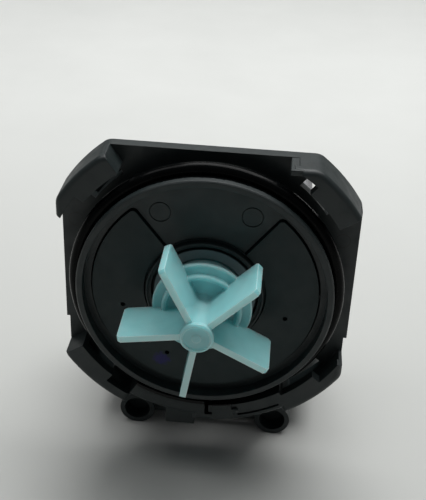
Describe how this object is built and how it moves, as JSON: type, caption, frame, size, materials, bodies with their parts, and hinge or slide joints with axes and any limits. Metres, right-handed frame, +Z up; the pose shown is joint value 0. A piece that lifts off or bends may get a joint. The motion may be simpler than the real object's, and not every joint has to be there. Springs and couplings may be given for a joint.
{
  "type": "washer drain pump",
  "caption": "Bayonet-mount drain pump with a round sealed spigot, a radial-vane impeller and a U-core synchronous motor with a two-pole connector.",
  "frame": {"origin": "on the pump axis, in the middle of the spigot's nose land, in front of the seal ring", "axes": "-Y along the pump axis out of the front, +X to the right seen from the front, +Z up with the motor's yoke below"},
  "size_m": [0.081, 0.092, 0.1015],
  "materials": {
    "housing_black": "satin moulded glass-filled plastic",
    "cover_black": "satin moulded plastic",
    "impeller_turquoise": "slightly translucent moulded plastic",
    "seal_rubber": "greased",
    "sleeve_rubber": "matt",
    "bush_carbon": "sintered, smooth",
    "shaft_steel": "ground",
    "magnet_ferrite": "ground ferrite",
    "rotor_plastic": "moulded",
    "washer_steel": "flat",
    "core_steel": "stacked sheet edges, lightly oiled",
    "rivet_steel": "bright",
    "bobbin_plastic": "moulded",
    "copper": "enamelled wire",
    "protector_plastic": "moulded",
    "terminal_tin": "tinned",
    "screw_zinc": "zinc plated"
  },
  "bodies": {
    "pump_body": {"front_housing": "housing_black", "rotor_can": "housing_black", "chamber_cover": "cover_black", "bush_carrier": "cover_black", "spigot_seal_ring": "seal_rubber", "carrier_seal_ring": "seal_rubber", "shaft_seal": "seal_rubber", "front_bush": "bush_carbon", "front_bush_sleeve": "sleeve_rubber", "rear_bush": "bush_carbon", "rear_bush_sleeve": "sleeve_rubber", "stator_core": "core_steel", "core_rivets": "rivet_steel", "left_bobbin": "bobbin_plastic", "right_bobbin": "bobbin_plastic", "left_winding": "copper", "right_winding": "copper", "thermal_protector": "protector_plastic", "coil_cover_front": "housing_black", "coil_cover_rear": "housing_black", "left_terminal": "terminal_tin", "right_terminal": "terminal_tin", "stator_screws": "screw_zinc"},
    "rotor": {"rotor_shaft": "shaft_steel", "rotor_core": "rotor_plastic", "rotor_magnet": "magnet_ferrite", "front_thrust_washer": "washer_steel", "rear_thrust_washer": "washer_steel", "drive_dog": "rotor_plastic"},
    "impeller": {"impeller": "impeller_turquoise", "impeller_cap": "impeller_turquoise", "drive_buffers": "sleeve_rubber"}
  },
  "joints": [
    {"name": "rotor_spin", "type": "hinge", "parent": "pump_body", "child": "rotor", "pos_m": [0, 0.042, 0], "axis": [0, -1, 0], "continuous": true},
    {"name": "impeller_play", "type": "hinge", "parent": "rotor", "child": "impeller", "pos_m": [0, -0.005, 0], "axis": [0, -1, 0], "range_deg": [-45, 45]}
  ]
}
